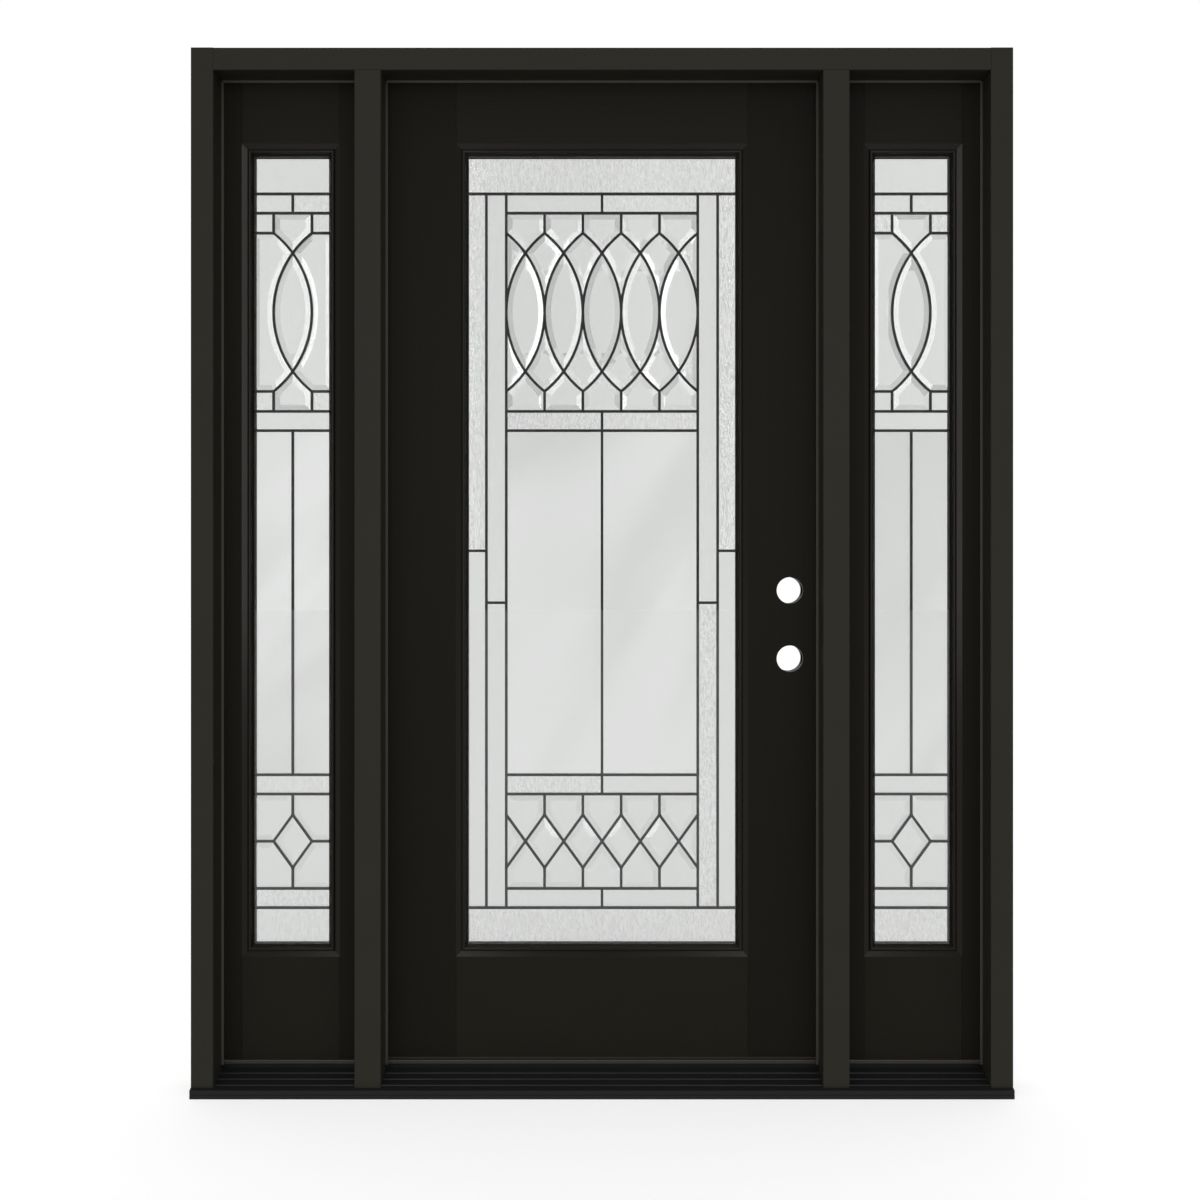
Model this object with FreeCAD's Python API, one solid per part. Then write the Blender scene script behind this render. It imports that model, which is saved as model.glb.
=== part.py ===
import FreeCAD
import Part

import math
import os

# Inswing entry door between two fixed sidelights, in one frame, with leaded glass.
# X runs to the right as seen from outside, Y runs from outside to inside and Z is up.
# The origin is at the middle of the sill's underside. All sizes are in millimetres.

V = FreeCAD.Vector

# Frame
jamb_face = 45.0
mullion_face = 53.0
frame_depth = 116.0
stop_height = 17.5
door_gap = 5.5
sidelight_gap = 3.0
arris_radius = 2.0

# Door and sidelight panels
door_width = 908.0
door_height = 2007.0
panel_thickness = 44.5
bottom_rail = 205.0
top_rail = 140.0
lock_edge_bevel = 2.5
sidelight_opening = 282.0
joint_ease = 0.8

# Sill, with a ribbed metal deck on a solid base
sill_nose = 10.0
nose_height = 17.5
nose_groove_height = 2.0
nose_groove_depth = 1.0
deck_back_height = 36.5
deck_thickness = 2.5
riser_setback = 43.0
sill_base_height = 44.0
rib_offsets = (10.0, 32.0, 54.0)
rib_radius = 3.0
rib_height = 1.5

# Threshold cap under each panel
cap_height = 9.0
cap_reach = 2.0
cap_edge_radius = 2.0

# Weatherstrip and door sweep, soft pieces that stand a hair clear of what passes them
seal_space = 5.0
seal_lip = 5.0
seal_cover = 11.0
soft_gap = 0.3
sweep_inset = 4.0

# Glass: the sight size is what shows inside the glazing beads
door_sight_width = 549.0
sidelight_sight_width = 152.7
glass_unit_thickness = 25.4
pane_thickness = 4.0
glass_lap = 9.0
glass_edge_gap = 2.0
spacer_width = 7.0

# Glazing bead round each glass: a slope, a half round and a drop to the pane
bead_width = 24.0
bead_slope_width = 11.0
bead_slope_depth = 4.0
bead_round_width = 8.5

# Leaded glass pattern, measured down from the top of the sight, with middle panes as high as the rest leaves
came_width = 5.5
came_thickness = 5.5
art_glass_thickness = 4.0
outer_border = 36.7
inner_border = 40.9
top_margin = 74.3
strip_height = 39.6
arch_height = 407.6
diamond_height = 194.1
bottom_margin = 71.8
arch_stub = 41.0
diamond_stub = 42.6
door_cells = 5

# Lock preparation in the door
lock_bore_radius = 27.0
latch_bore_radius = 12.7
backset = 70.0
lock_height = 814.0
deadbolt_spacing = 139.7
face_plate_width = 25.4
face_plate_height = 57.2
face_plate_depth = 5.0

# Hinges
hinge_height = 101.6
hinge_top_offset = 228.0
hinge_bottom_offset = 305.0
leaf_depth = 38.0
leaf_thickness = 3.0
barrel_radius = 7.0
pin_radius = 3.5
pin_clearance = 0.05
pin_setback = 8.0
knuckle_count = 5
knuckle_gap = 0.4
leaf_relief = 0.8
pin_head_radius = 5.5
pin_head_height = 3.0
pin_tip = 3.0

# Places in depth
sill_depth = frame_depth + sill_nose
nose_y = -sill_depth / 2
back_y = sill_depth / 2
front_y = nose_y + sill_nose
panel_y = back_y - panel_thickness
stop_y = panel_y - seal_space
riser_y = back_y - riser_setback
mid_y = panel_y + panel_thickness / 2
pane_front_y = mid_y - glass_unit_thickness / 2
pane_back_y = mid_y + glass_unit_thickness / 2

# Places across
door_half = door_width / 2
doorway_half = door_half + door_gap - stop_height
sidelight_half = sidelight_opening / 2
sidelight_x = doorway_half + mullion_face + sidelight_half
outer_half = sidelight_x + sidelight_half + jamb_face
sidelight_panel_half = sidelight_half + stop_height - sidelight_gap

# Places in height
cap_top = sill_base_height + cap_height
door_bottom = cap_top + door_gap
door_top = door_bottom + door_height
head_rabbet = door_top + door_gap
head_underside = head_rabbet - stop_height
head_top = head_underside + jamb_face
sight_bottom = door_bottom + bottom_rail + bead_width
sight_top = door_top - top_rail - bead_width


def block(low, high):
    """A box between two opposite corners."""
    size = V(*high) - V(*low)
    return Part.makeBox(size.x, size.y, size.z, V(*low))


def closed_face(points):
    """A flat face inside a closed run of points."""
    return Part.Face(Part.makePolygon(points + points[:1]))


def post(outline, z0, z1):
    """An upright prism over an outline of (x, y) points."""
    return closed_face([V(x, y, z0) for x, y in outline]).extrude(V(0, 0, z1 - z0))


def bar(section, x0, x1):
    """A level prism along X with a section of (y, z) points."""
    return closed_face([V(x0, y, z) for y, z in section]).extrude(V(x1 - x0, 0, 0))


def plate(outline, y0, y1):
    """A prism along Y with an outline of (x, z) points."""
    return closed_face([V(x, y0, z) for x, z in outline]).extrude(V(0, y1 - y0, 0))


def fused(shapes):
    """One solid from shapes that touch or overlap."""
    return shapes[0].multiFuse(shapes[1:]).removeSplitter()


def mirrored(shape):
    """The same shape on the other side of the middle."""
    return shape.mirror(V(0, 0, 0), V(1, 0, 0))


def front_arrises(shape, y, length):
    """The edges of a shape that lie in the plane at y and are at least this long."""
    boxes = [(edge, edge.BoundBox) for edge in shape.Edges]
    tiny = 0.001
    return [e for e, b in boxes if b.YLength < tiny and abs(b.YMin - y) < tiny and b.DiagonalLength > length]


def eased_front(shape):
    """A frame member with its long front arrises rounded."""
    return shape.makeFillet(arris_radius, front_arrises(shape, front_y, sidelight_opening))


# Sill
def sill_outline():
    """The outside of the whole sill, as (y, z) points."""
    return [
        (nose_y, 0),
        (nose_y, nose_height),
        (riser_y, deck_back_height),
        (riser_y, sill_base_height),
        (back_y, sill_base_height),
        (back_y, 0),
    ]


def sill_slope():
    """How far the deck rises for each unit of depth."""
    return (deck_back_height - nose_height) / (riser_y - nose_y)


def deck_height(y):
    """The height of the sloping deck at a depth."""
    return nose_height + (y - nose_y) * sill_slope()


def make_sill_body():
    """The whole sill as one prism."""
    return bar(sill_outline(), -outer_half, outer_half)


def make_sill_base():
    """The solid base under the metal deck."""
    base_front = nose_y + deck_thickness
    base_riser = riser_y + deck_thickness
    section = [
        (base_front, 0),
        (base_front, deck_height(base_front) - deck_thickness),
        (base_riser, deck_height(base_riser) - deck_thickness),
        (base_riser, sill_base_height),
        (back_y, sill_base_height),
        (back_y, 0),
    ]
    return bar(section, -outer_half, outer_half)


def make_rib(offset, centre, half):
    """One raised rib of the deck, across one opening."""
    y = front_y + offset
    below = rib_radius - rib_height
    start = V(centre - half, y, deck_height(y) - below)
    return Part.makeCylinder(rib_radius, 2 * half, start, V(1, 0, 0))


def make_sill_deck(body, base):
    """The metal deck with its nose, riser and ribs."""
    ribs = [make_rib(offset, centre, half) for offset in rib_offsets for centre, half in openings]
    groove_z = nose_height / 2
    groove_low = (-outer_half, nose_y, groove_z - nose_groove_height / 2)
    groove_high = (outer_half, nose_y + nose_groove_depth, groove_z + nose_groove_height / 2)
    return fused([body] + ribs).cut(base).cut(block(groove_low, groove_high))


def make_cap(centre, half):
    """The cap that closes the sill under one panel, with a nose between the weatherstrips."""
    wide = half + stop_height
    narrow = half - seal_lip - soft_gap
    outline = [
        (centre - wide, panel_y),
        (centre - narrow, panel_y),
        (centre - narrow, panel_y - cap_reach),
        (centre + narrow, panel_y - cap_reach),
        (centre + narrow, panel_y),
        (centre + wide, panel_y),
        (centre + wide, back_y),
        (centre - wide, back_y),
    ]
    cap = post(outline, sill_base_height, cap_top)
    return cap.makeFillet(cap_edge_radius, front_arrises(cap, panel_y - cap_reach, half))


# Jambs, mullions and head
def make_jamb(body):
    """The left side jamb, rabbeted from inside and cut to the sill."""
    opening_x = -outer_half + jamb_face
    outline = [
        (-outer_half, front_y),
        (opening_x, front_y),
        (opening_x, stop_y),
        (opening_x - stop_height, stop_y),
        (opening_x - stop_height, back_y),
        (-outer_half, back_y),
    ]
    return post(outline, 0, head_top).cut(body)


def make_head(left_jamb, right_jamb):
    """The head jamb, fitted between the side jambs."""
    section = [
        (front_y, head_underside),
        (stop_y, head_underside),
        (stop_y, head_rabbet),
        (back_y, head_rabbet),
        (back_y, head_top),
        (front_y, head_top),
    ]
    head = bar(section, -outer_half, outer_half)
    return head.cut(left_jamb).cut(right_jamb)


def make_mullion(body, head):
    """The left mullion, rabbeted for the door on one side and the sidelight on the other."""
    inner = -doorway_half
    outer = inner - mullion_face
    outline = [
        (outer, front_y),
        (inner, front_y),
        (inner, stop_y),
        (inner - stop_height, stop_y),
        (inner - stop_height, back_y),
        (outer + stop_height, back_y),
        (outer + stop_height, stop_y),
        (outer, stop_y),
    ]
    return post(outline, 0, head_top).cut(body).cut(head)


def make_seal(centre, half):
    """The weatherstrip against the stop at both sides and the head of one opening."""
    inner = half - seal_lip
    outer = half + seal_cover
    y1 = panel_y - soft_gap
    top = head_underside + seal_cover
    legs = [
        block((centre + min(a, b), stop_y, sill_base_height), (centre + max(a, b), y1, top))
        for a, b in ((-outer, -inner), (inner, outer))
    ]
    bridge = block((centre - outer, stop_y, head_underside - seal_lip), (centre + outer, y1, top))
    return fused(legs + [bridge])


# Panels: stiles, rails and glazing beads
def make_rails(centre, stile_line, bottom, top):
    """The top and bottom rail between the stiles, with their ends eased to show the joint."""
    rails = []
    for z0, z1 in ((bottom, sight_bottom - bead_width), (sight_top + bead_width, top)):
        rail = block((centre - stile_line, panel_y, z0), (centre + stile_line, back_y, z1))
        ends = [e for y in (panel_y, back_y) for e in front_arrises(rail, y, 0) if e.BoundBox.XLength < joint_ease]
        rails.append(rail.makeChamfer(joint_ease, ends))
    return rails


def make_bead(centre, half_sight, outward):
    """A mitred glazing bead round one glass. Outward is -1 on the outside face and 1 on the inside face."""
    face_y = mid_y + outward * panel_thickness / 2
    pane_y = mid_y + outward * glass_unit_thickness / 2
    hollow_y = face_y - outward * bead_slope_depth
    round_end = bead_slope_width + bead_round_width
    leg = bead_width - glass_lap - glass_edge_gap
    x0 = centre - half_sight - bead_width
    z0 = sight_bottom - bead_width
    z1 = sight_top + bead_width
    middle = (z0 + z1) / 2

    def at(u, y):
        return V(x0 + u, y, middle)

    crest = at(bead_slope_width + bead_round_width / 2, face_y)
    rest = [(round_end, hollow_y), (bead_width, pane_y), (leg, pane_y), (leg, mid_y), (0, mid_y), (0, face_y)]
    points = [at(u, y) for u, y in rest]
    edges = [
        Part.makeLine(at(0, face_y), at(bead_slope_width, hollow_y)),
        Part.Arc(at(bead_slope_width, hollow_y), crest, points[0]).toShape(),
    ]
    edges += [Part.makeLine(a, b) for a, b in zip(points, points[1:])]
    width = 2 * (half_sight + bead_width)
    path = Part.makePolygon([
        V(x0, face_y, middle),
        V(x0, face_y, z1),
        V(x0 + width, face_y, z1),
        V(x0 + width, face_y, z0),
        V(x0, face_y, z0),
        V(x0, face_y, middle),
    ])
    right_corner = 1
    return path.makePipeShell([Part.Wire(edges)], True, False, right_corner)


def make_pane(centre, half_sight, y0):
    """One plain pane of a glass unit."""
    half = half_sight + glass_lap
    return block((centre - half, y0, sight_bottom - glass_lap), (centre + half, y0 + pane_thickness, sight_top + glass_lap))


# Leaded glass
def straight_came(x0, d0, x1, d1):
    """A straight came between two points, each given across and down from the top of the sight."""
    start = V(x0, 0, sight_top - d0)
    end = V(x1, 0, sight_top - d1)
    along = (end - start).normalize() * (came_width / 2)
    side = along.cross(V(0, 1, 0))
    corners = [start - along - side, start - along + side, end + along + side, end + along - side]
    return plate([(c.x, c.z) for c in corners], mid_y - came_thickness / 2, mid_y + came_thickness / 2)


def arched_came(x, d0, d1, sagitta):
    """A came along an arc from (x, d0) to (x, d1) that swells sideways by the sagitta."""
    half_chord = (d1 - d0) / 2
    reach = abs(sagitta)
    radius = (half_chord ** 2 + reach ** 2) / (2 * reach)
    toward = math.copysign(1, sagitta)
    half_width = came_width / 2
    y0 = mid_y - came_thickness / 2
    centre = V(x + toward * (reach - radius), y0, sight_top - (d0 + d1) / 2)
    outer = Part.makeCylinder(radius + half_width, came_thickness, centre, V(0, 1, 0))
    inner = Part.makeCylinder(radius - half_width, came_thickness, centre, V(0, 1, 0))
    near = x - toward * half_width
    far = x + toward * (reach + came_width)
    low = (min(near, far), y0, centre.z - half_chord)
    high = (max(near, far), y0 + came_thickness, centre.z + half_chord)
    return outer.cut(inner).common(block(low, high))


def pattern_levels():
    """The heights of the long level cames, down from the top of the sight."""
    first = top_margin
    arch = first + strip_height
    strip = arch + arch_height
    middle = strip + strip_height
    last = sight_top - sight_bottom - bottom_margin
    above = last - strip_height
    diamond = above - diamond_height
    under = diamond - strip_height
    return [first, arch, strip, middle, under, diamond, above, last]


def door_cames():
    """The cames of the door's glass."""
    field = door_sight_width / 2 - outer_border - inner_border
    outer = field + inner_border
    edge = door_sight_width / 2 + glass_lap - spacer_width
    first, arch, strip, middle, under, diamond, above, last = pattern_levels()
    cell = 2 * field / door_cells
    cames = [straight_came(-edge, d, edge, d) for d in (first, last)]
    cames += [straight_came(-field, d, field, d) for d in (arch, strip, middle, under, diamond, above)]
    cames += [straight_came(0, a, 0, b) for a, b in ((first, arch), (strip, middle), (middle, under))]
    cames += [straight_came(0, a, 0, b) for a, b in ((under, diamond), (above, last))]
    halfway = (first + last) / 2
    middle_split = (middle + under) / 2
    for side in (-1, 1):
        cames += [straight_came(side * x, first, side * x, last) for x in (field, outer)]
        cames.append(straight_came(side * outer, halfway, side * edge, halfway))
        cames.append(straight_came(side * field, middle_split, side * outer, middle_split))
    arch_foot = strip - arch_stub
    diamond_foot = above - diamond_stub
    for k in range(door_cells + 1):
        x = -field + k * cell
        if 0 < k < door_cells:
            cames.append(straight_came(x, arch, x, arch + arch_stub))
            cames.append(straight_came(x, arch_foot, x, strip))
            cames.append(straight_came(x, diamond, x, diamond + diamond_stub))
            cames.append(straight_came(x, diamond_foot, x, above))
        for step, inside in ((1, k < door_cells), (-1, k > 0)):
            if inside:
                cames.append(arched_came(x, arch + arch_stub, arch_foot, step * cell))
                cames.append(straight_came(x, diamond + diamond_stub, x + step * cell, diamond_foot))
    return cames


def sidelight_cames():
    """The cames of one sidelight's glass, about its own middle."""
    cell = (door_sight_width - 2 * outer_border - 2 * inner_border) / door_cells
    half = cell / 2
    edge = sidelight_sight_width / 2 + glass_lap - spacer_width
    first, arch, strip, middle, under, diamond, above, last = pattern_levels()
    arch_top = arch + arch_stub
    arch_foot = strip - arch_stub
    diamond_top = diamond + diamond_stub
    diamond_foot = above - diamond_stub
    waist = (diamond_top + diamond_foot) / 2
    cames = [straight_came(-edge, d, edge, d) for d in pattern_levels()]
    cames += [straight_came(0, a, 0, b) for a, b in ((first, arch), (middle, under))]
    cames += [straight_came(0, a, 0, b) for a, b in ((diamond, diamond_top), (diamond_foot, above))]
    for side in (-1, 1):
        x = side * half
        cames.append(straight_came(x, arch, x, arch_top))
        cames.append(straight_came(x, arch_foot, x, strip))
        cames.append(arched_came(-x, arch_top, arch_foot, side * cell))
        cames.append(straight_came(x, arch_top, side * edge, arch_top))
        cames.append(straight_came(x, arch_foot, side * edge, arch_foot))
        cames.append(straight_came(0, diamond_top, x, waist))
        cames.append(straight_came(x, waist, 0, diamond_foot))
        cames.append(straight_came(x, waist, side * edge, waist))
    return cames


def make_leaded_glass(cames, half_sight):
    """The cames with the spacer of the glass unit round them, and the glass pieces between them."""
    outer = half_sight + glass_lap
    inner = outer - spacer_width
    z0 = sight_bottom - glass_lap
    z1 = sight_top + glass_lap
    spacer_front = pane_front_y + pane_thickness
    spacer_back = pane_back_y - pane_thickness
    spacer = block((-outer, spacer_front, z0), (outer, spacer_back, z1))
    hole_low = (-inner, spacer_front, z0 + spacer_width)
    hole_high = (inner, spacer_back, z1 - spacer_width)
    hole = block(hole_low, hole_high)
    field = fused(cames).common(hole)
    half_glass = art_glass_thickness / 2
    sheet_low = (hole_low[0], mid_y - half_glass, hole_low[2])
    sheet_high = (hole_high[0], mid_y + half_glass, hole_high[2])
    glass = block(sheet_low, sheet_high).cut(field)
    return fused([spacer.cut(hole), field]), glass


# Door
def make_lock_stile(stile_line):
    """The lock stile with its bevelled edge, two lock bores and the latch bores with their face plate seats."""
    outline = [
        (stile_line, panel_y),
        (door_half - lock_edge_bevel, panel_y),
        (door_half, back_y),
        (stile_line, back_y),
    ]
    stile = post(outline, door_bottom, door_top)
    lock_x = door_half - backset
    seat_x = door_half - face_plate_depth
    for z in (door_bottom + lock_height, door_bottom + lock_height + deadbolt_spacing):
        lock_bore = Part.makeCylinder(lock_bore_radius, panel_thickness, V(lock_x, panel_y, z), V(0, 1, 0))
        latch_bore = Part.makeCylinder(latch_bore_radius, backset, V(lock_x, mid_y, z), V(1, 0, 0))
        seat_low = (seat_x, mid_y - face_plate_width / 2, z - face_plate_height / 2)
        seat_high = (door_half, mid_y + face_plate_width / 2, z + face_plate_height / 2)
        stile = stile.cut(lock_bore).cut(latch_bore).cut(block(seat_low, seat_high))
    return stile


# Hinges
def hinge_heights():
    """The middle of each hinge, from the lowest."""
    lowest = door_bottom + hinge_bottom_offset
    highest = door_top - hinge_top_offset
    return [lowest, (lowest + highest) / 2, highest]


def make_leaf(z, plate_x, own, other):
    """One hinge leaf: a plate with its own knuckles, cut clear of the other leaf's knuckles."""
    z0 = z - hinge_height / 2
    pin = V(pin_x, pin_y, z0)
    up = V(0, 0, 1)
    step = hinge_height / knuckle_count
    leaf = block((plate_x, back_y - leaf_depth, z0), (plate_x + leaf_thickness, pin_y, z0 + hinge_height))
    for k in range(knuckle_count):
        base = pin + up * (k * step)
        if k in other:
            leaf = leaf.cut(Part.makeCylinder(barrel_radius + leaf_relief, step, base, up))
        else:
            leaf = leaf.fuse(Part.makeCylinder(barrel_radius, step, base, up))
    for k in range(1, knuckle_count):
        slit = Part.makeCylinder(barrel_radius + leaf_relief, knuckle_gap, pin + up * (k * step - knuckle_gap / 2), up)
        leaf = leaf.cut(slit)
    bore = Part.makeCylinder(pin_radius + pin_clearance, hinge_height, pin, up)
    return leaf.cut(bore).removeSplitter()


def make_pin(z):
    """A hinge pin whose head rests on the top knuckle."""
    z0 = z - hinge_height / 2
    up = V(0, 0, 1)
    shank = Part.makeCylinder(pin_radius, hinge_height + pin_tip, V(pin_x, pin_y, z0 - pin_tip), up)
    head = Part.makeCylinder(pin_head_radius, pin_head_height, V(pin_x, pin_y, z0 + hinge_height), up)
    return shank.fuse(head).removeSplitter()


pin_x = -door_half - door_gap / 2
pin_y = back_y + pin_setback
jamb_knuckles = range(0, knuckle_count, 2)
door_knuckles = range(1, knuckle_count, 2)
openings = [(-sidelight_x, sidelight_half), (0, doorway_half), (sidelight_x, sidelight_half)]
pane_places = {"outer_pane": pane_front_y, "inner_pane": pane_back_y - pane_thickness}
bead_sides = {"outer_bead": -1, "inner_bead": 1}
parts = {}

# Frame pieces
sill_body = make_sill_body()
parts["sill_base"] = make_sill_base()
parts["sill_deck"] = make_sill_deck(sill_body, parts["sill_base"])
left_jamb = make_jamb(sill_body)
head_jamb = make_head(left_jamb, mirrored(left_jamb))
parts["left_jamb"] = eased_front(left_jamb)
parts["right_jamb"] = mirrored(parts["left_jamb"])
parts["head_jamb"] = eased_front(head_jamb)
parts["left_mullion"] = eased_front(make_mullion(sill_body, head_jamb))
parts["right_mullion"] = mirrored(parts["left_mullion"])
for name, (centre, half) in zip(("left", "door", "right"), openings):
    parts[name + "_sill_cap"] = make_cap(centre, half)
    parts[name + "_seal"] = make_seal(centre, half)

# Sidelight pieces
side_sight = sidelight_sight_width / 2
side_line = side_sight + bead_width
side_bottom = cap_top
side_top = head_rabbet - sidelight_gap
side_field, side_glass = make_leaded_glass(sidelight_cames(), side_sight)
for side, centre in (("left", -sidelight_x), ("right", sidelight_x)):
    name = side + "_sidelight_"
    shift = V(centre, 0, 0)
    edges = ((-sidelight_panel_half, -side_line), (side_line, sidelight_panel_half))
    stiles = [block((centre + a, panel_y, side_bottom), (centre + b, back_y, side_top)) for a, b in edges]
    parts[name + "stiles"] = Part.makeCompound(stiles)
    parts[name + "rails"] = Part.makeCompound(make_rails(centre, side_line, side_bottom, side_top))
    parts[name + "cames"] = side_field.translated(shift)
    parts[name + "art_glass"] = side_glass.translated(shift)
    for piece, outward in bead_sides.items():
        parts[name + piece] = make_bead(centre, side_sight, outward)
    for piece, y in pane_places.items():
        parts[name + piece] = make_pane(centre, side_sight, y)

# Door pieces
door_sight = door_sight_width / 2
door_line = door_sight + bead_width
hinge_stile = block((-door_half, panel_y, door_bottom), (-door_line, back_y, door_top))
bottom_rail, top_rail = make_rails(0, door_line, door_bottom, door_top)
parts["door_lock_stile"] = make_lock_stile(door_line)
parts["door_bottom_rail"] = bottom_rail
parts["door_top_rail"] = top_rail
parts["door_cames"], parts["door_art_glass"] = make_leaded_glass(door_cames(), door_sight)
for piece, outward in bead_sides.items():
    parts["door_" + piece] = make_bead(0, door_sight, outward)
for piece, y in pane_places.items():
    parts["door_" + piece] = make_pane(0, door_sight, y)
sweep_half = door_half - lock_edge_bevel - sweep_inset
sweep_low = (-sweep_half, panel_y + sweep_inset, cap_top + soft_gap)
sweep_high = (sweep_half, back_y - sweep_inset, door_bottom)
parts["door_sweep"] = block(sweep_low, sweep_high)

# Hinge pieces, let into the door's edge and the mullion
jamb_leaf_x = -door_half - door_gap - leaf_thickness
door_leaves = [make_leaf(z, -door_half, door_knuckles, jamb_knuckles) for z in hinge_heights()]
jamb_leaves = [make_leaf(z, jamb_leaf_x, jamb_knuckles, door_knuckles) for z in hinge_heights()]
for z in hinge_heights():
    reach = hinge_height / 2
    low = (-door_half, back_y - leaf_depth, z - reach)
    high = (-door_half + leaf_thickness, back_y, z + reach)
    hinge_stile = hinge_stile.cut(block(low, high))
    low = (jamb_leaf_x, back_y - leaf_depth, z - reach)
    high = (jamb_leaf_x + leaf_thickness, back_y, z + reach)
    parts["left_mullion"] = parts["left_mullion"].cut(block(low, high))
parts["door_hinge_stile"] = hinge_stile
parts["hinge_door_leaves"] = Part.makeCompound(door_leaves)
parts["hinge_jamb_leaves"] = Part.makeCompound(jamb_leaves)
parts["hinge_pins"] = Part.makeCompound([make_pin(z) for z in hinge_heights()])

os.makedirs("parts", exist_ok=True)
for name, shape in parts.items():
    shape.exportStep(os.path.join("parts", name + ".step"))
    print(name, len(shape.Solids), round(shape.Volume / 1e6, 3), shape.isValid())
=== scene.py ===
import math
import random

import bmesh
import bpy
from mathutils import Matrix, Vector
from mathutils.geometry import delaunay_2d_cdt


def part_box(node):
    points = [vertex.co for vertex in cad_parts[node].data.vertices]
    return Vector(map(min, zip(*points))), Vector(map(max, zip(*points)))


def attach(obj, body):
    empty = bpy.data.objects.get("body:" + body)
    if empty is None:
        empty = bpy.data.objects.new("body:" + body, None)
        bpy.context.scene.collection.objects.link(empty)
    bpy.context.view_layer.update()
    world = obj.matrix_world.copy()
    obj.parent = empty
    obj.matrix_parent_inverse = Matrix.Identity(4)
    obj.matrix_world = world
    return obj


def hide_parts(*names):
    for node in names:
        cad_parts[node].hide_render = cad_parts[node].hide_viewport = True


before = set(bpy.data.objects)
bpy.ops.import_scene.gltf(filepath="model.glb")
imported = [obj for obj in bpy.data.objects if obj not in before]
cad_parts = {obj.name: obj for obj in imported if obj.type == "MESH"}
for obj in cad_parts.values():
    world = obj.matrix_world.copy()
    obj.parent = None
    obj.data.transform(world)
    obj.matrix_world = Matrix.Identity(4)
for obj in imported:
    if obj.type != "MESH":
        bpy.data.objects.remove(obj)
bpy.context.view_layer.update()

bl_info = {
    "name": "Entry door with sidelights",
    "version": (1, 0, 0),
    "blender": (4, 5, 0),
    "location": "View3D > Sidebar > Door",
    "description": "Finishes an entry door with two sidelights and leaded glass",
    "category": "Object",
}

UNITS = ("left_sidelight_", "door_", "right_sidelight_")
SIDES = ("left", "door", "right")
HINGE_COUNT = 3
SCREW_ROWS = 4


def body_of_unit(unit):
    """The body that a glazed unit moves with."""
    return "door" if unit == "door_" else "frame"


# Places read from the frame
slab_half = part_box("door_lock_stile")[1].x
glass_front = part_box("door_art_glass")[0].y
frame_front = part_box("head_jamb")[0].y


# Settings that a user would change
def colour_setting(name, description, default):
    """A colour setting."""
    return bpy.props.FloatVectorProperty(
        name=name, description=description, subtype="COLOR", size=3, min=0, max=1, default=default)


def length_setting(name, description, default, **limits):
    """A setting in metres."""
    return bpy.props.FloatProperty(
        name=name, description=description, unit="LENGTH", default=default, **limits)


class FinishSettings(bpy.types.PropertyGroup):
    """Colours of the painted, metal and soft surfaces."""

    frame_colour: colour_setting(
        "Frame colour", "Paint on the jambs, mullions and head", (0.042, 0.0405, 0.032))
    panel_colour: colour_setting(
        "Panel colour", "Paint on the door and sidelight panels", (0.0158, 0.0139, 0.0098))
    sill_colour: colour_setting("Sill colour", "Anodised metal of the sill deck", (0.020, 0.0205, 0.021))
    cap_colour: colour_setting("Cap colour", "Threshold caps above the sill deck", (0.036, 0.033, 0.027))
    core_colour: colour_setting("Core colour", "Bare wood under the sill", (0.42, 0.30, 0.19))
    seal_colour: colour_setting("Weatherstrip colour", "Skin of the foam weatherstrip", (0.085, 0.077, 0.062))
    hinge_colour: colour_setting("Hinge colour", "Dark metal of the hinges and screws", (0.075, 0.066, 0.054))
    grain_depth: length_setting("Grain depth", "Depth of the pressed wood grain", 0.00012, min=0, max=0.001)


class GlassSettings(bpy.types.PropertyGroup):
    """Colours and sizes of the leaded glass."""

    tint: colour_setting("Glass tint", "Colour of all the glass", (0.930, 0.935, 0.930))
    came_colour: colour_setting("Came colour", "Dark patina of the cames", (0.014, 0.014, 0.0135))
    bevel_width: length_setting(
        "Bevel width", "Width of the ground bevel round a piece", 0.0105, min=0.002, max=0.02)
    glint_share: bpy.props.FloatProperty(
        name="Glinting share", description="Share of the door's bevelled pieces that catch a soft box",
        subtype="FACTOR", min=0, max=1, default=0.4)
    # Painted shade: some bevel sides get a darker glass colour, down to this share of the light
    darkest_painted_bevel_shade: bpy.props.FloatProperty(
        name="Darkest bevel", description="How much light the darkest bevel lets through", subtype="FACTOR",
        min=0, max=1, default=0.72)
    seed: bpy.props.IntProperty(
        name="Seed", description="Sets how each glass piece differs from the next", min=0, default=7)


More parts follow.
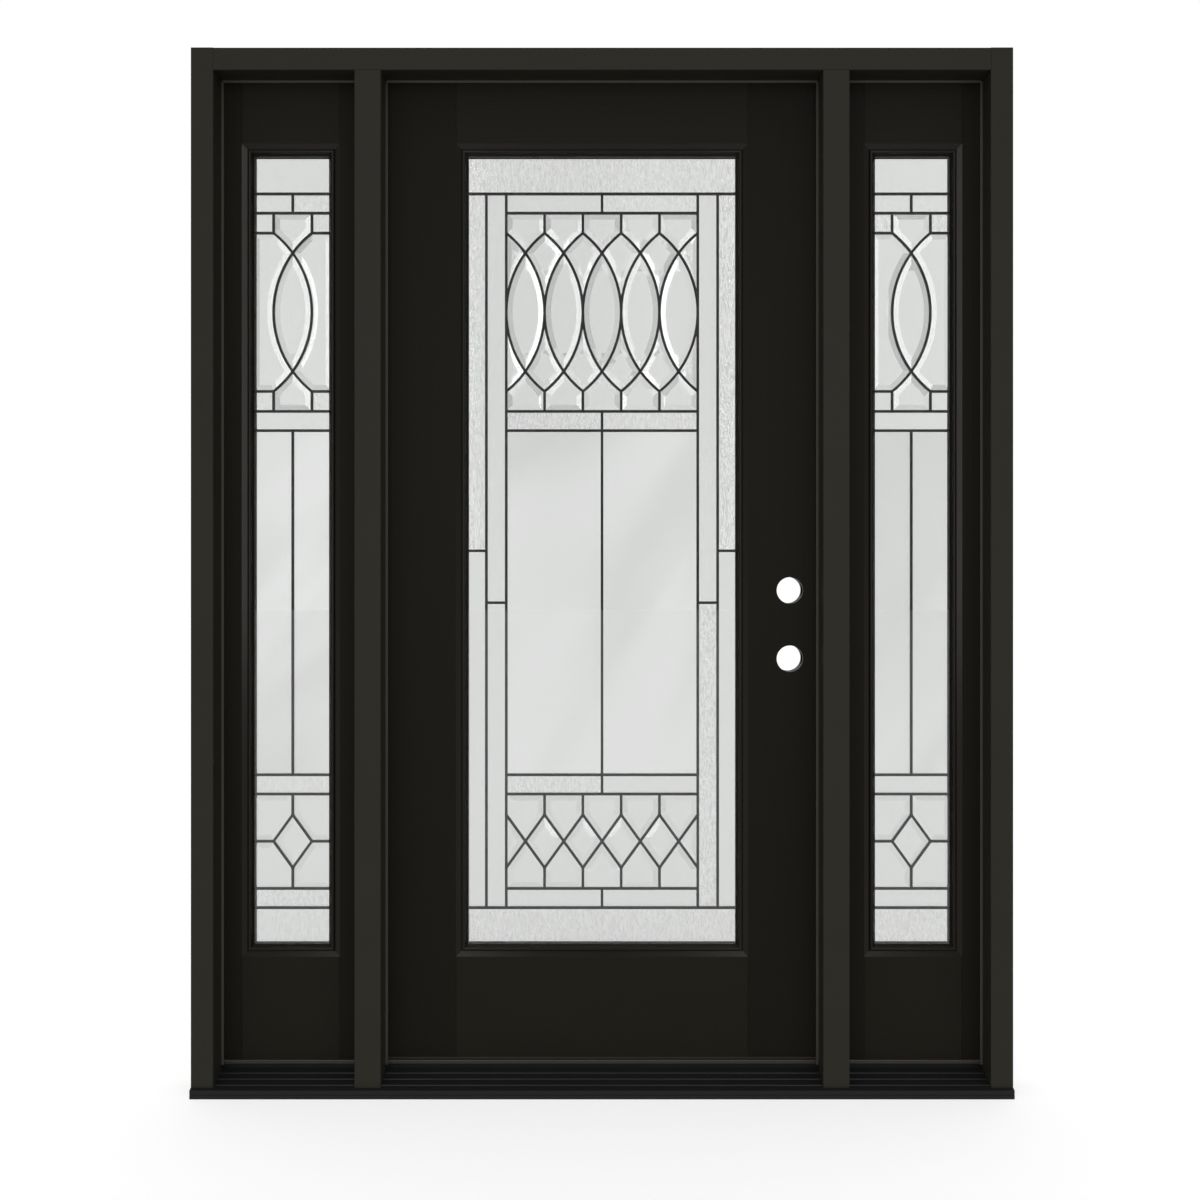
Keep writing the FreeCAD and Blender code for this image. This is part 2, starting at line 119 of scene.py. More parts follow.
class TrimSettings(bpy.types.PropertyGroup):
    """Sizes of the screws and strips."""

    strip_width: length_setting(
        "Weatherstrip width", "From the kerf in the stop to the round nose", 0.016, min=0.005, max=0.02)
    fin_count: bpy.props.IntProperty(
        name="Sweep fins", description="How many fins the door's sweep has", min=2, max=12, default=6)
    fin_thickness: length_setting(
        "Fin thickness", "Thickness of a fin of the sweep", 0.0014, min=0.0005, max=0.003)
    screw_radius: length_setting(
        "Screw head radius", "Radius of a hinge screw's head", 0.0042, min=0.001, max=0.01)
    screw_rise: length_setting(
        "Screw head rise", "How far a screw head stands out of the leaf", 0.0004, min=0.0001, max=0.001)
    screw_edge: length_setting(
        "Screw edge distance", "From the end of a leaf to its first screw", 0.0125, min=0.005, max=0.03)
    screw_near: length_setting(
        "Near screw column", "From a leaf's outer edge to its nearer column of screws", 0.010,
        min=0.005, max=0.03)
    screw_far: length_setting(
        "Far screw column", "From a leaf's outer edge to its farther column of screws", 0.024,
        min=0.005, max=0.03)
    leaf_height: length_setting("Leaf height", "Height of a hinge leaf", 0.1016)
    leaf_face: length_setting("Leaf face", "From the hinge pin to the bare face of a leaf", 0.00275)
    pin_extra: length_setting("Pin ends", "How much longer a hinge pin is than a leaf", 0.006)


class StageSettings(bpy.types.PropertyGroup):
    """Camera and floor."""

    focal_pixels: bpy.props.FloatProperty(
        name="Focal length in pixels", description="Focal length for a picture 1200 pixels wide",
        default=1554.2)
    camera_distance: length_setting("Camera distance", "From the camera to the front of the frame", 3.1053)
    camera_height: length_setting("Camera height", "Height of the camera above the floor", 1.0745)
    camera_side: length_setting("Camera side", "How far the camera is to the right of the middle", 0.0017)
    view_x: bpy.props.FloatProperty(
        name="Level line across", description="Where the camera's axis falls across the picture",
        subtype="PIXEL", default=602.85)
    view_y: bpy.props.FloatProperty(
        name="Level line down", description="Where the camera's axis falls down the picture",
        subtype="PIXEL", default=559.92)
    floor_size: length_setting("Floor size", "Width of the square floor", 60.0)
    floor_colour: colour_setting("Floor colour", "Pale floor", (0.5, 0.5, 0.5))


SETTINGS = {
    "door_finish": FinishSettings,
    "door_glass": GlassSettings,
    "door_trim": TrimSettings,
    "door_stage": StageSettings,
}
PICTURE_SIDE = 1200
SENSOR_WIDTH = 36.0

# Outlines: points this near are one, a shape is filled inside only, and how straight and forward things are
SAME_POINT = 1e-6
JOINED_POINT = 1e-5
INSIDE_ONLY = 1
STRAIGHT_RUN = 1e-3
FORWARD = -0.9
# Glass: a side ends where the outline turns this far, and a ridge is found with a little to spare
CORNER_TURN = math.radians(14)
RIDGE_SHARE = 0.995
LEAST_LEAN = 0.05
HALVINGS = 24
# Bevels: slopes that catch a soft box, how far a slope strays from them, and dull slopes
LEAST_SLOPE = math.radians(2)
GREATEST_SLOPE = math.radians(12)
GLINT_SPREAD = math.radians(0.8)
CLEAR_LEAN = 0.3
DULL_SLOPES = tuple(math.radians(a) for a in (4, 6, 8, 10))
# Zones of a piece besides its bevels, and kinds of glass
FLAT_ZONE, BACK_ZONE, RIM_ZONE = -1, -2, -3
BEVELLED, RIPPLED, REFLECTION_PAINTED_STREAKS = range(3)
# The bands of bevelled pieces, as shares of the glass height from the top, and how strong their painted
# shades are
BEVELLED_BANDS = ((0.072, 0.323, 1.0), (0.810, 0.930, 0.35))
LONGEST_BEVELLED = 0.45
SMALLEST_BEVELLED = 0.045
# The middle panes: their share of the glass height, how far it may be off, and the widest border piece
MIDDLE_SHARE = 0.567
MIDDLE_REACH = 0.02
WIDEST_BORDER = 0.05
RIPPLE_DEPTH = 0.000014
# Trim: steps round the strip's nose, the carrier's share of the sweep, and the form of a screw head
NOSE_STEPS = 10
CARRIER_SHARE = 0.3
SCREW_SIDES = 20
SCREW_TAPER = 0.8
# Soft boxes that flat glass mirrors beside the camera, never into it
BOX_PLACES = (-0.87, 0.87)
BOX_WIDTH = 0.44
BOX_HEIGHT = 2.8
BOX_MIDDLE = 2.0
BOX_PLANE = -3.5
BOX_BRIGHTNESS = 5.4
# The studio's brightness, and what the camera sees behind the door
STUDIO_FRONT = 0.28
STUDIO_SIDES = 0.5
STUDIO_TOP = 0.6
STUDIO_BACK = 1.0
BACKGROUND_WHITE = 1.02
# Where the front has turned into the screen, where the top brightens, and where the screen fades
STUDIO_TURN = 0.3
STUDIO_HIGH = (0.55, 0.85)
SCREEN_EDGE = (0.35, 0.6)
# Faint streaks. The turn follows the stretch, so it only takes another part of the noise
STREAK_STRETCH = (9.0, 9.0, 1.6)
STREAK_TURN = math.radians(35)
STREAK_SCALE = 0.8
STREAK_SWING = 0.05
# What the floor gives off: its strength, and the share of it for all rays but the camera's
FLOOR_GLOW = 0.62
FLOOR_DIMMED = 0.65
# Soft light on matt surfaces: from all round, from the front and the back, and from straight above
SOFT_ROUND = 0.10
SOFT_LEVEL = 0.70
SOFT_ABOVE = 1.8
# Paint: its shine, and the painted light on the rails: how much lighter their paint is than the stiles',
# standing in for the light from above that level grain catches
PAINT_SHINE = 0.05
RAIL_PAINTED_LIGHT = 1.35
# Grain: scales of the fine and the broad noise, the fine one's share, and where a tick starts and ends
FINE_GRAIN = 0.35
BROAD_GRAIN = 0.06
FINE_SHARE = 0.6
GRAIN_TICKS = (0.42, 0.58)
# Other noises: the scale of the speckle, the range that most levels lie in, and the least tint of a ripple
SPECKLE_SCALE = 1400.0
NOISE_REACH = (0.35, 0.65)
LEAST_RIPPLE = 0.001


# Shader node helpers
def new_group(name, inputs, outputs):
    """An empty shader node group with named sockets."""
    group = bpy.data.node_groups.new(name, "ShaderNodeTree")
    for direction, sockets in (("INPUT", inputs), ("OUTPUT", outputs)):
        for label, kind, *default in sockets:
            socket = group.interface.new_socket(label, in_out=direction, socket_type=kind)
            if default:
                socket.default_value = default[0]
    return group


def add(tree, kind, inputs=None, **properties):
    """A node with its properties and inputs set. An input is a value or another node's socket."""
    node = tree.nodes.new(kind)
    for key, value in properties.items():
        setattr(node, key, value)
    for key, value in (inputs or {}).items():
        if isinstance(value, bpy.types.NodeSocket):
            tree.links.new(value, node.inputs[key])
        else:
            node.inputs[key].default_value = value
    return node


def math_node(tree, operation, a, b=0.0):
    """The result of one sum on two values or sockets."""
    return add(tree, "ShaderNodeMath", {0: a, 1: b}, operation=operation).outputs[0]


def times(tree, a, b):
    """One value or socket times another."""
    return math_node(tree, "MULTIPLY", a, b)


def plus(tree, a, b):
    """One value or socket plus another."""
    return math_node(tree, "ADD", a, b)


def minus(tree, a, b):
    """One value or socket minus another."""
    return math_node(tree, "SUBTRACT", a, b)


def between(tree, value, low, high, to_low=0.0, to_high=1.0, **properties):
    """A value moved so that low and high become to_low and to_high, and held between them."""
    inputs = {"Value": value, "From Min": low, "From Max": high, "To Min": to_low, "To Max": to_high}
    return add(tree, "ShaderNodeMapRange", inputs, **properties).outputs[0]


def mixed(tree, share, a, b):
    """A number on the way from the first to the second."""
    return add(tree, "ShaderNodeMix", {0: share, 2: a, 3: b}, data_type="FLOAT").outputs[0]


def scaled(tree, colour, factor):
    """A colour made lighter or darker."""
    return add(tree, "ShaderNodeVectorMath", {0: colour, "Scale": factor}, operation="SCALE").outputs[0]


def noise(tree, place, scale, detail, **more):
    """The level of a cloudy noise."""
    inputs = {"Vector": place, "Scale": scale, "Detail": detail, **more}
    return add(tree, "ShaderNodeTexNoise", inputs).outputs[0]


def object_place(tree):
    """The point being shaded, in Object coordinates."""
    return add(tree, "ShaderNodeTexCoord").outputs["Object"]


def stretched(group, across, y, along, source):
    """A place stretched by a group's own Across and Along."""
    return add(group, "ShaderNodeCombineXYZ", {
        0: times(group, across, source["Across"]),
        1: times(group, y, source["Across"]),
        2: times(group, along, source["Along"])}).outputs[0]


def grain_group():
    """Wood grain pressed into a surface, which runs along Z at Level 0 and along X at Level 1."""
    group = new_group(
        "pressed_grain",
        [("Across", "NodeSocketFloat", 900.0), ("Along", "NodeSocketFloat", 9.0),
         ("Level", "NodeSocketFloat", 0.0)],
        [("Height", "NodeSocketFloat")])
    source = add(group, "NodeGroupInput").outputs
    x, y, z = add(group, "ShaderNodeSeparateXYZ", {0: object_place(group)}).outputs
    level = source["Level"]
    upright = minus(group, 1.0, level)
    across = plus(group, times(group, x, upright), times(group, z, level))
    along = plus(group, times(group, z, upright), times(group, x, level))
    place = stretched(group, across, y, along, source)
    fine = times(group, noise(group, place, FINE_GRAIN, detail=3.0), FINE_SHARE)
    broad = times(group, noise(group, place, BROAD_GRAIN, detail=2.0), 1.0 - FINE_SHARE)
    add(group, "NodeGroupOutput", {"Height": between(group, plus(group, fine, broad), *GRAIN_TICKS)})
    return group


def variation_group():
    """Slight unevenness of colour and roughness over a surface, and a fine speckle as a height."""
    group = new_group(
        "surface_variation",
        [("Colour", "NodeSocketColor", (0.1, 0.1, 0.1, 1)), ("Amount", "NodeSocketFloat", 0.15),
         ("Scale", "NodeSocketFloat", 12.0), ("Roughness", "NodeSocketFloat", 0.45),
         ("Roughness Amount", "NodeSocketFloat", 0.08)],
        [("Colour", "NodeSocketColor"), ("Roughness", "NodeSocketFloat"), ("Height", "NodeSocketFloat")])
    source = add(group, "NodeGroupInput").outputs
    place = object_place(group)
    swing = minus(group, noise(group, place, source["Scale"], detail=4.0), 0.5)
    lift = plus(group, 1.0, times(group, swing, source["Amount"]))
    add(group, "NodeGroupOutput", {
        "Colour": scaled(group, source["Colour"], lift),
        "Roughness": plus(group, source["Roughness"], times(group, swing, source["Roughness Amount"])),
        "Height": noise(group, place, SPECKLE_SCALE, detail=1.0)})
    return group


def ripple_group():
    """The water-like surface of rolled glass, as a height, and a tint that swings lighter and darker with it
    as painted light and shade. Shade is the strength of a piece's ripple or, on glass without one, the
    painted shade of a bevel. A negative amount turns the tint round."""
    group = new_group(
        "water_ripple",
        [("Across", "NodeSocketFloat", 330.0), ("Along", "NodeSocketFloat", 70.0),
         ("Skew", "NodeSocketFloat", 0.0), ("Tint", "NodeSocketColor", (1, 1, 1, 1)),
         ("Tint Amount", "NodeSocketFloat", 0.1), ("Shade", "NodeSocketFloat", 1.0)],
        [("Height", "NodeSocketFloat"), ("Tint", "NodeSocketColor")])
    source = add(group, "NodeGroupInput").outputs
    x, y, z = add(group, "ShaderNodeSeparateXYZ", {0: object_place(group)}).outputs
    skewed = plus(group, x, times(group, z, source["Skew"]))
    wave = noise(group, stretched(group, skewed, y, z, source), 1.0, detail=2.0, Distortion=1.5)
    crest = between(group, wave, *NOISE_REACH, interpolation_type="SMOOTHSTEP")
    amount, shade = source["Tint Amount"], source["Shade"]
    # Painted light and shade: the glass colour swings lighter and darker with the ripple
    swing = times(group, minus(group, crest, 0.5), times(group, amount, shade))
    # A bevel's painted shade counts only where there is no ripple
    plain = math_node(group, "GREATER_THAN", LEAST_RIPPLE, amount)
    loss = times(group, plain, minus(group, 1.0, shade))
    lit = minus(group, 1.0, plus(group, swing, loss))
    add(group, "NodeGroupOutput", {
        "Height": times(group, crest, shade), "Tint": scaled(group, source["Tint"], lit)})
    return group


GROUP_MAKERS = {
    "pressed_grain": grain_group,
    "surface_variation": variation_group,
    "water_ripple": ripple_group,
}


def use_group(tree, name, inputs):
    """The outputs of a shared group, placed in a material with its inputs set."""
    group = bpy.data.node_groups.get(name) or GROUP_MAKERS[name]()
    return add(tree, "ShaderNodeGroup", inputs, node_tree=group).outputs


def opaque(colour):
    """A colour with full alpha."""
    return (*colour, 1.0)


def new_material(name, **plain):
    """A material with its Principled shader's plain sockets set."""
    material = bpy.data.materials.new(name)
    material.use_nodes = True
    shader = material.node_tree.nodes["Principled BSDF"]
    for key, value in plain.items():
        shader.inputs[key.replace("_", " ")].default_value = value
    return material, material.node_tree, shader


def varied_material(name, colour, roughness, cloud_scale=9.0, amount=0.1, speckle=0.00001, **plain):
    """A surface with uneven colour and roughness and a fine speckle."""
    material, tree, shader = new_material(name, **plain)
    varied = use_group(tree, "surface_variation", {
        "Colour": opaque(colour), "Amount": amount, "Scale": cloud_scale, "Roughness": roughness})
    tree.links.new(varied["Colour"], shader.inputs["Base Color"])
    tree.links.new(varied["Roughness"], shader.inputs["Roughness"])
    bump = add(tree, "ShaderNodeBump", {"Height": varied["Height"], "Distance": speckle})
    tree.links.new(bump.outputs[0], shader.inputs["Normal"])
    return material


def grained_material(name, colour, roughness, depth, level, **plain):
    """Paint over pressed wood grain. Level is 0 for upright grain and 1 for level grain."""
    material = varied_material(name, colour, roughness, amount=0.12, speckle=0.00002, **plain)
    tree = material.node_tree
    bump = tree.nodes["Bump"]
    grain = use_group(tree, "pressed_grain", {"Level": level})
    pressed = add(tree, "ShaderNodeBump", {"Height": grain["Height"], "Distance": depth})
    tree.links.new(pressed.outputs[0], bump.inputs["Normal"])
    return material


def paint(nodes, material):
    """Gives CAD nodes a material."""
    for name in nodes:
        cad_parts[name].material_slots[0].material = material


def units(*suffixes):
    """The node names of every glazed unit with these endings."""
    return [unit + suffix for unit in UNITS for suffix in suffixes]


# Geometry Nodes helpers
def new_tree(name, sizes=()):
    """An empty geometry tree, and its inputs: a geometry and the named sizes."""
    tree = bpy.data.node_groups.new(name, "GeometryNodeTree")
    tree.interface.new_socket("Geometry", in_out="INPUT", socket_type="NodeSocketGeometry")
    for label in sizes:
        tree.interface.new_socket(label, in_out="INPUT", socket_type="NodeSocketFloat")
    tree.interface.new_socket("Geometry", in_out="OUTPUT", socket_type="NodeSocketGeometry")
    return tree, add(tree, "NodeGroupInput").outputs


def end_tree(tree, geometry, material):
    """Closes a geometry tree with real meshes and their material."""
    real = add(tree, "GeometryNodeRealizeInstances", {"Geometry": geometry})
    done = add(tree, "GeometryNodeSetMaterial", {"Geometry": real.outputs[0], "Material": material})
    add(tree, "NodeGroupOutput", {0: done.outputs[0]})


def run_tree(name, tree, mesh, **values):
    """A plain mesh object, made by a geometry tree from a starting mesh."""
    maker = bpy.data.objects.new(name + "_maker", mesh)
    bpy.context.scene.collection.objects.link(maker)
    modifier = maker.modifiers.new(name, "NODES")
    modifier.node_group = tree
    for item in tree.interface.items_tree:
        if item.in_out == "INPUT" and item.name in values:
            modifier[item.identifier] = values[item.name]
    bpy.context.view_layer.update()
    evaluated = maker.evaluated_get(bpy.context.evaluated_depsgraph_get())
    made = bpy.data.meshes.new_from_object(evaluated)
    bpy.data.objects.remove(maker)
    made.name = name
    piece = bpy.data.objects.new(name, made)
    bpy.context.scene.collection.objects.link(piece)
    return piece


def mesh_of(name, points, edges=(), faces=()):
    """A mesh from its points, edges and faces."""
    mesh = bpy.data.meshes.new(name)
    mesh.from_pydata(points, edges, faces)
    return mesh


def put_in_scene(name, mesh, materials, body):
    """A piece that rides on a body and takes its finish from a slot."""
    piece = bpy.data.objects.new(name, mesh)
    bpy.context.scene.collection.objects.link(piece)
    for material in materials:
        mesh.materials.append(material)
    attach(piece, body)
    return piece


# Leaded glass pieces
def glass_outlines(node):
    """The outline of each glass piece, as loops of (x, z) seen from outside."""
    shape = bmesh.new()
    shape.from_mesh(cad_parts[node].data)
    bmesh.ops.remove_doubles(shape, verts=shape.verts, dist=SAME_POINT)
    front = {face for face in shape.faces if face.normal.y < FORWARD}
    loops = []
    while front:
        group, queue = set(), [front.pop()]
        while queue:
            face = queue.pop()
            group.add(face)
            near = {other for edge in face.edges for other in edge.link_faces if other in front}
            front -= near
            queue += near
        after = {}
        for face in group:
            for loop in face.loops:
                if not any(f in group for f in loop.edge.link_faces if f is not face):
                    after[loop.vert] = loop.link_loop_next.vert
        vert = start = next(iter(after))
        outline = []
        while True:
            outline.append(Vector((vert.co.x, vert.co.z)))
            vert = after[vert]
            if vert is start:
                break
        loops.append(tidy_outline(outline))
    shape.free()
    return sorted(loops, key=lambda loop: (round(-loop_middle(loop).y, 3), round(loop_middle(loop).x, 3)))


def tidy_outline(outline):
    """The outline without points in a straight run, anticlockwise from its leftmost point."""
    kept = []
    for before, here, after in zip(outline[-1:] + outline[:-1], outline, outline[1:] + outline[:1]):
        one, two = here - before, after - here
        if abs(one.cross(two)) > STRAIGHT_RUN * one.length * two.length:
            kept.append(here)
    if sum(a.cross(b) for a, b in zip(kept, kept[1:] + kept[:1])) < 0:
        kept.reverse()
    first = min(range(len(kept)), key=lambda i: tuple(kept[i]))
    return kept[first:] + kept[:first]


def sharpen_between(mesh, zones):
    """Marks the edges sharp where two zones meet."""
    beside = {}
    for face, zone in zip(mesh.polygons, zones):
        for key in face.edge_keys:
            beside.setdefault(key, set()).add(zone)
    sharp = mesh.attributes.new("sharp_edge", "BOOLEAN", "EDGE")
    sharp.data.foreach_set("value", [len(beside[edge.key]) > 1 for edge in mesh.edges])


def loop_middle(loop):
    """The middle of an outline's box."""
    xs, ys = zip(*loop)
    return Vector(((min(xs) + max(xs)) / 2, (min(ys) + max(ys)) / 2))


def nearest_edges(point, loop):
    """How far a point is from an outline, and the edges that are that near."""
    gaps = []
    for a, b in zip(loop, loop[1:] + loop[:1]):
        side = b - a
        t = max(0.0, min(1.0, (point - a).dot(side) / side.length_squared))
        gaps.append((point - a - side * t).length)
    least = min(gaps)
    return least, [i for i, gap in enumerate(gaps) if gap < least + SAME_POINT]


def sides_of(loop):
    """The number of each edge's side, with a new side at each corner, and the way that each edge faces."""
    count = len(loop)
    runs = [(loop[(i + 1) % count] - loop[i]).normalized() for i in range(count)]
    corners = [i for i in range(count) if runs[i].dot(runs[i - 1]) < math.cos(CORNER_TURN)]
    sides, number = [0] * count, 0
    for i in range(corners[0], corners[0] + count):
        number += i % count in corners
        sides[i % count] = number - 1
    return sides, [Vector((run.y, -run.x)) for run in runs]


def bevel_foot(before, here, after, loop, width):
    """Where the bevel from one corner of an outline ends, and whether that is on the flat or on a ridge."""
    one, two = (here - before).normalized(), (after - here).normalized()
    inward = Vector((-one.y - two.y, one.x + two.x)).normalized()
    lean = max(LEAST_LEAN, inward.dot(Vector((-one.y, one.x))))
    low, high = 0.0, width / lean
    if nearest_edges(here + inward * high, loop)[0] > width * RIDGE_SHARE:
        return here + inward * high, True
    for _ in range(HALVINGS):
        middle = (low + high) / 2
        if nearest_edges(here + inward * middle, loop)[0] >= middle * lean * RIDGE_SHARE:
            low = middle
        else:
            high = middle
    return here + inward * low, False


def bevelled_piece(loop, width, slope, shade_of, front, back):
    """Points of a piece with a ground bevel on each side, and its faces, each with its zone and its painted
    shade.
    """
    count = len(loop)
    sides, _ = sides_of(loop)
    feet = [bevel_foot(loop[i - 1], loop[i], loop[(i + 1) % count], loop, width) for i in range(count)]
    points = loop + [foot for foot, _ in feet]
    edges = [(i, (i + 1) % count) for i in range(count)] + [(i, count + i) for i in range(count)]
    for i in range(count):
        j = (i + 1) % count
        if feet[i][1] and feet[j][1]:
            edges.append((count + i, count + j))
    flat, _, triangles, origins, _, _ = delaunay_2d_cdt(
        points, edges, [list(range(count))], INSIDE_ONLY, JOINED_POINT)
    rim = {source: index for index, sources in enumerate(origins) for source in sources if source < count}
    total = len(flat)
    verts = []
    for point in flat:
        gap, _ = nearest_edges(point, loop)
        verts.append((point.x, front + math.tan(slope) * max(0.0, width - gap), point.y))
    verts += [(point.x, back, point.y) for point in flat]
    faces = []
    for triangle in triangles:
        _, near = nearest_edges(sum((flat[i] for i in triangle), Vector((0, 0))) / 3, loop)
        side = sides[near[0]]
        on_bevel = any(verts[i][1] > front + SAME_POINT for i in triangle)
        # Painted shade: the side's glass colour is darkened. A pane's colour is spread over its two faces,
        # and only this one is ground
        shade = shade_of[side] ** 2
        faces.append((tuple(triangle), side, shade) if on_bevel else (tuple(triangle), FLAT_ZONE, 1.0))
    faces += [(tuple(total + i for i in reversed(triangle)), BACK_ZONE, 1.0) for triangle in triangles]
    for i in range(count):
        a, b = rim[i], rim[(i + 1) % count]
        faces.append(((b, a, total + a, total + b), RIM_ZONE - sides[i], 1.0))
    return verts, faces


def glint_slopes(x, lean):
    """The slopes that make a bevel at x mirror a soft box to the camera."""
    stage = bpy.context.scene.door_stage
    seen = math.atan((x - stage.camera_side) / (glass_front - frame_front + stage.camera_distance))
    turn = 1 if lean > 0 else -1
    return [turn * (math.atan((box - x) / (glass_front - BOX_PLANE)) - seen) / 2 for box in BOX_PLACES]


def flat_piece(loop, shade, front, back):
    """Points of one flat piece of glass, and its faces, each with its zone and its shade."""
    count = len(loop)
    sides, _ = sides_of(loop)
    verts = [(p.x, front, p.y) for p in loop] + [(p.x, back, p.y) for p in loop]
    faces = [(tuple(range(count)), FLAT_ZONE, shade)]
    faces.append((tuple(reversed(range(count, 2 * count))), BACK_ZONE, shade))
    for i in range(count):
        j = (i + 1) % count
        faces.append(((j, i, count + i, count + j), RIM_ZONE - sides[i], shade))
    return verts, faces


def sized(loop):
    """Width and height of an outline."""
    xs, ys = zip(*loop)
    return max(xs) - min(xs), max(ys) - min(ys)


def bevel_strength(loop, share):
    """How strong the painted shade on a piece's bevels is, from its size and its place down the glass. A flat
    piece has 0.
    """
    width, height = sized(loop)
    if height > LONGEST_BEVELLED or max(width, height) < SMALLEST_BEVELLED:
        return 0
    return sum(strength for start, end, strength in BEVELLED_BANDS if start < share < end)


# Operators, one for each group of pieces and one for the stage
class DOOR_OT_make_stage(bpy.types.Operator):
    """Makes the floor, the soft studio light and the camera."""

    bl_idname = "door.make_stage"
    bl_label = "Stage, light and camera"

    def execute(self, context):
        settings = context.scene.door_stage
        half = settings.floor_size / 2
        corners = [(-half, -half, 0), (half, -half, 0), (half, half, 0), (-half, half, 0)]
        floor = bpy.data.objects.new("studio_floor", mesh_of("studio_floor", corners, faces=[(0, 1, 2, 3)]))
        context.scene.collection.objects.link(floor)
        material = varied_material("studio_floor", settings.floor_colour, roughness=0.9, cloud_scale=0.4,
                                   amount=0.01, Emission_Strength=FLOOR_GLOW, Specular_IOR_Level=0.0)
        tree = material.node_tree
        dimmed = opaque([FLOOR_DIMMED] * 3)
        glow = add(tree, "ShaderNodeMix", {6: dimmed, 7: (1, 1, 1, 1)}, data_type="RGBA")
        tree.links.new(add(tree, "ShaderNodeLightPath").outputs["Is Camera Ray"], glow.inputs[0])
        tree.links.new(glow.outputs[2], tree.nodes["Principled BSDF"].inputs["Emission Color"])
        floor.data.materials.append(material)
        floor.visible_diffuse = False
        self.make_camera(context, settings)
        self.make_lights(context)
        make_world(context)
        context.scene.view_settings.view_transform = "Standard"
        return {"FINISHED"}

    def make_camera(self, context, settings):
        """The camera, level and square to the front, with the picture shifted as in the photograph."""
        data = bpy.data.cameras.new("camera")
        data.sensor_width = SENSOR_WIDTH
        data.lens = settings.focal_pixels / PICTURE_SIDE * SENSOR_WIDTH
        data.shift_x = (PICTURE_SIDE / 2 - settings.view_x) / PICTURE_SIDE
        data.shift_y = (settings.view_y - PICTURE_SIDE / 2) / PICTURE_SIDE
        camera = bpy.data.objects.new("camera", data)
        camera.location = (
            settings.camera_side, frame_front - settings.camera_distance, settings.camera_height)
        camera.rotation_euler = (math.pi / 2, 0, 0)
        context.scene.collection.objects.link(camera)
        context.scene.camera = camera

    def make_lights(self, context):
        """Upright soft boxes in one plane, which only shiny surfaces show."""
        for number, x in enumerate(BOX_PLACES, 1):
            data = bpy.data.lights.new(f"soft_box_{number}", "AREA")
            data.shape = "RECTANGLE"
            data.size = BOX_WIDTH
            data.size_y = BOX_HEIGHT
            data.energy = BOX_BRIGHTNESS * math.pi * BOX_WIDTH * BOX_HEIGHT
            lamp = bpy.data.objects.new(data.name, data)
            lamp.location = (x, BOX_PLANE, BOX_MIDDLE)
            lamp.rotation_euler = (math.pi / 2, 0, 0)
            lamp.visible_camera = False
            lamp.visible_diffuse = False
            context.scene.collection.objects.link(lamp)


def make_world(context):
    """White behind the door for the camera, soft light on matt surfaces and a studio for shiny ones."""
    world = bpy.data.worlds.new("studio")
    world.use_nodes = True
    context.scene.world = world
    tree = world.node_tree
    tree.nodes.clear()
    direction = add(tree, "ShaderNodeTexCoord").outputs["Generated"]
    parts = add(tree, "ShaderNodeSeparateXYZ", {0: direction}).outputs
    path = add(tree, "ShaderNodeLightPath").outputs
    level = mixed(tree, path["Is Diffuse Ray"], studio_light(tree, direction, parts), soft_light(tree, parts))
    chosen = add(tree, "ShaderNodeMixShader", {0: path["Is Camera Ray"]})
    for socket, strength in ((1, level), (2, BACKGROUND_WHITE)):
        background = add(tree, "ShaderNodeBackground", {"Color": (1, 1, 1, 1), "Strength": strength})
        tree.links.new(background.outputs[0], chosen.inputs[socket])
    add(tree, "ShaderNodeOutputWorld", {"Surface": chosen.outputs[0]})


def studio_light(tree, direction, parts):
    """What shiny surfaces mirror and glass shows: a dim front with brighter sides and top, and a bright
    screen behind, with faint streaks in all of it."""
    behind = between(tree, parts["Y"], 0.0, STUDIO_TURN)
    sideways = math_node(tree, "POWER", math_node(tree, "ABSOLUTE", parts["X"]), 2.0)
    front = plus(tree, STUDIO_FRONT, times(tree, sideways, STUDIO_SIDES))
    front = plus(tree, front, between(tree, parts["Z"], *STUDIO_HIGH, 0.0, STUDIO_TOP))
    screen = between(tree, math_node(tree, "ABSOLUTE", parts["Z"]), *SCREEN_EDGE, STUDIO_BACK, front)
    place = add(tree, "ShaderNodeMapping", {
        "Vector": direction, "Rotation": (0, STREAK_TURN, 0), "Scale": STREAK_STRETCH}).outputs[0]
    streak = noise(tree, place, STREAK_SCALE, detail=1.0)
    swing = between(tree, streak, *NOISE_REACH, 1.0 - STREAK_SWING, 1.0 + STREAK_SWING)
    return times(tree, mixed(tree, behind, front, screen), swing)


def soft_light(tree, parts):
    """The light on matt surfaces: from all round, from the front and the back, and from straight above."""
    facing = math_node(tree, "POWER", math_node(tree, "ABSOLUTE", parts["Y"]), 2.0)
    above = math_node(tree, "POWER", math_node(tree, "MAXIMUM", parts["Z"], 0.0), 4.0)
    strong = plus(tree, times(tree, facing, SOFT_LEVEL), times(tree, above, SOFT_ABOVE))
    return plus(tree, strong, SOFT_ROUND)


class DOOR_OT_paint_frame(bpy.types.Operator):
    """Paints the jambs, the mullions and the head."""

    bl_idname = "door.paint_frame"
    bl_label = "Frame"

    def execute(self, context):
        finish = context.scene.door_finish
        looks = {"roughness": 0.42, "depth": finish.grain_depth / 2, "Specular_IOR_Level": PAINT_SHINE}
        upright = grained_material("frame_paint", finish.frame_colour, level=0.0, **looks)
        level = grained_material("head_paint", finish.frame_colour, level=1.0, **looks)
        paint(["left_jamb", "right_jamb", "left_mullion", "right_mullion"], upright)
        paint(["head_jamb"], level)
        return {"FINISHED"}


